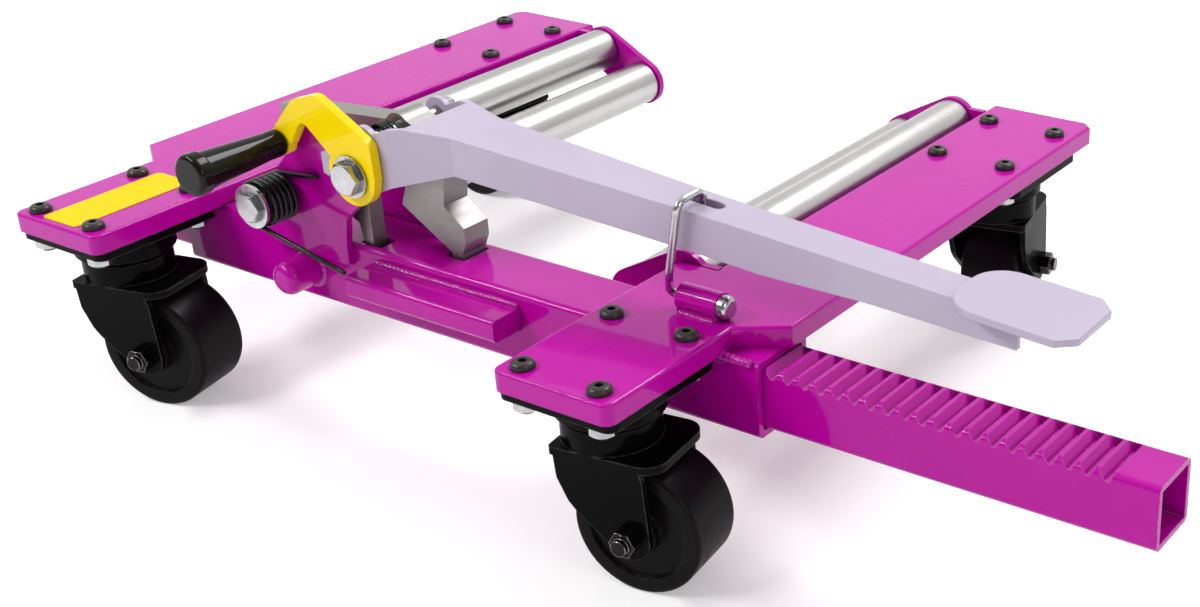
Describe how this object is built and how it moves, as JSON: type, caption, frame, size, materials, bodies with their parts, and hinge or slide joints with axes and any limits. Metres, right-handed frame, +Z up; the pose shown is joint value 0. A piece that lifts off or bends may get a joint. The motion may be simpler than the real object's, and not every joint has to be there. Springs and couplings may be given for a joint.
{
  "type": "vehicle positioning jack",
  "caption": "Foot-pumped vehicle dolly: two roller jaws on swivel casters, drawn together under a tyre by a ratchet beam with pedal, release lever and storage latch.",
  "frame": {"origin": "on the floor, under the middle of the bounding box at rest", "axes": "+X along the beam to its open end, +Y from the beam to the rear casters, +Z up"},
  "size_m": [1.0172, 0.637, 0.2867],
  "materials": {
    "frame_paint": "glossy powder coat",
    "pedal_paint": "semi-gloss powder coat",
    "lever_paint": "glossy powder coat",
    "yellow_strip": "plain vinyl",
    "grip_rubber": "satin",
    "zinc": "zinc plate",
    "roller_zinc": "bright zinc plate",
    "bush_plastic": "natural nylon",
    "black_screws": "black oxide",
    "spring_steel": "black oxide",
    "pawl_steel": "oiled steel",
    "caster_black": "satin black",
    "caster_bolts": "black zinc",
    "wheel_black": "smooth nylon"
  },
  "bodies": {
    "main_frame": {"outer_tube": "frame_paint", "gusset_front": "frame_paint", "gusset_rear": "frame_paint", "hanger_peg": "frame_paint", "foot_step": "frame_paint", "latch_barrel": "frame_paint", "latch_cap": "zinc", "pivot_bolt": "zinc", "pivot_nut": "zinc", "torsion_spring": "spring_steel", "spring_bolt": "zinc", "right_deck": "frame_paint", "right_bracket_front": "frame_paint", "right_bracket_rear": "frame_paint", "right_axles": "zinc", "right_screws": "black_screws", "right_nuts": "zinc", "right_caster_plates": "caster_black", "right_kingpins": "zinc"},
    "left_jaw": {"inner_tube": "frame_paint", "left_saddle": "frame_paint", "deck_strip": "yellow_strip", "left_deck": "frame_paint", "left_bracket_front": "frame_paint", "left_bracket_rear": "frame_paint", "left_axles": "zinc", "left_screws": "black_screws", "left_nuts": "zinc", "left_caster_plates": "caster_black", "left_kingpins": "zinc"},
    "pedal": {"pedal_arm": "pedal_paint", "pedal_pad": "pedal_paint", "pawl_pin": "zinc", "pawl_spring": "spring_steel"},
    "drive_pawl": {"drive_pawl": "pawl_steel"},
    "holding_pawl": {"holding_pawl": "pawl_steel"},
    "release_lever": {"release_lever": "lever_paint", "lever_grip": "grip_rubber"},
    "wire_latch": {"wire_latch": "zinc"},
    "right_outer_roller_body": {"right_outer_roller": "roller_zinc", "right_outer_bushes": "bush_plastic"},
    "right_inner_roller_body": {"right_inner_roller": "roller_zinc", "right_inner_bushes": "bush_plastic"},
    "left_outer_roller_body": {"left_outer_roller": "roller_zinc", "left_outer_bushes": "bush_plastic"},
    "left_inner_roller_body": {"left_inner_roller": "roller_zinc", "left_inner_bushes": "bush_plastic"},
    "front_right_swivel_body": {"front_right_fork": "caster_black", "front_right_axle": "caster_bolts"},
    "front_right_wheel_body": {"front_right_wheel": "wheel_black"},
    "front_left_swivel_body": {"front_left_fork": "caster_black", "front_left_axle": "caster_bolts"},
    "front_left_wheel_body": {"front_left_wheel": "wheel_black"},
    "rear_right_swivel_body": {"rear_right_fork": "caster_black", "rear_right_axle": "caster_bolts"},
    "rear_right_wheel_body": {"rear_right_wheel": "wheel_black"},
    "rear_left_swivel_body": {"rear_left_fork": "caster_black", "rear_left_axle": "caster_bolts"},
    "rear_left_wheel_body": {"rear_left_wheel": "wheel_black"}
  },
  "joints": [
    {"name": "jaw_slide", "type": "slide", "parent": "main_frame", "child": "left_jaw", "axis": [-1, 0, 0], "range_m": [-0.0135, 0.3105]},
    {"name": "pedal_pivot", "type": "hinge", "parent": "main_frame", "child": "pedal", "pos_m": [-0.15339, -0.1665, 0.228], "axis": [0, -1, 0], "range_deg": [0, 60]},
    {"name": "drive_pawl_pivot", "type": "hinge", "parent": "pedal", "child": "drive_pawl", "pos_m": [-0.14539, -0.1595, 0.254], "axis": [0, -1, 0], "range_deg": [-48, 0]},
    {"name": "lever_pivot", "type": "hinge", "parent": "main_frame", "child": "release_lever", "pos_m": [-0.15339, -0.2125, 0.228], "axis": [0, 1, 0], "range_deg": [0, 45]},
    {"name": "hold_pawl_pivot", "type": "hinge", "parent": "main_frame", "child": "holding_pawl", "pos_m": [-0.24839, -0.1815, 0.19], "axis": [0, -1, 0], "range_deg": [0, 12]},
    {"name": "latch_swing", "type": "hinge", "parent": "pedal", "child": "wire_latch", "pos_m": [0.14261, -0.178, 0.26222], "axis": [0, 1, 0], "range_deg": [0, 30]},
    {"name": "right_outer_roller_spin", "type": "hinge", "parent": "main_frame", "child": "right_outer_roller_body", "pos_m": [0.07861, 0.0945, 0.157], "axis": [0, 1, 0], "continuous": true},
    {"name": "right_inner_roller_spin", "type": "hinge", "parent": "main_frame", "child": "right_inner_roller_body", "pos_m": [0.02761, 0.0945, 0.1295], "axis": [0, 1, 0], "continuous": true},
    {"name": "left_outer_roller_spin", "type": "hinge", "parent": "left_jaw", "child": "left_outer_roller_body", "pos_m": [-0.34339, 0.0945, 0.157], "axis": [0, 1, 0], "continuous": true},
    {"name": "left_inner_roller_spin", "type": "hinge", "parent": "left_jaw", "child": "left_inner_roller_body", "pos_m": [-0.29239, 0.0945, 0.1295], "axis": [0, 1, 0], "continuous": true},
    {"name": "front_right_swivel", "type": "hinge", "parent": "main_frame", "child": "front_right_swivel_body", "pos_m": [0.12661, -0.2585, 0.12], "axis": [0, 0, 1], "continuous": true},
    {"name": "front_right_roll", "type": "hinge", "parent": "front_right_swivel_body", "child": "front_right_wheel_body", "pos_m": [0.15631, -0.25432, 0.05], "axis": [-0.1392, 0.9903, 0], "continuous": true},
    {"name": "front_left_swivel", "type": "hinge", "parent": "left_jaw", "child": "front_left_swivel_body", "pos_m": [-0.39139, -0.2585, 0.12], "axis": [0, 0, 1], "continuous": true},
    {"name": "front_left_roll", "type": "hinge", "parent": "front_left_swivel_body", "child": "front_left_wheel_body", "pos_m": [-0.36216, -0.25175, 0.05], "axis": [-0.225, 0.9744, 0], "continuous": true},
    {"name": "rear_right_swivel", "type": "hinge", "parent": "main_frame", "child": "rear_right_swivel_body", "pos_m": [0.16211, 0.2285, 0.12], "axis": [0, 0, 1], "continuous": true},
    {"name": "rear_right_roll", "type": "hinge", "parent": "rear_right_swivel_body", "child": "rear_right_wheel_body", "pos_m": [0.15587, 0.25784, 0.05], "axis": [-0.9781, -0.2079, 0], "continuous": true},
    {"name": "rear_left_swivel", "type": "hinge", "parent": "left_jaw", "child": "rear_left_swivel_body", "pos_m": [-0.42689, 0.2285, 0.12], "axis": [0, 0, 1], "continuous": true},
    {"name": "rear_left_roll", "type": "hinge", "parent": "rear_left_swivel_body", "child": "rear_left_wheel_body", "pos_m": [-0.45678, 0.23111, 0.05], "axis": [-0.0872, -0.9962, 0], "continuous": true}
  ],
  "couplings": [
    {"joint": "drive_pawl_pivot", "follows": "pedal_pivot", "ratio": -0.8},
    {"joint": "hold_pawl_pivot", "follows": "lever_pivot", "ratio": 0.25}
  ]
}
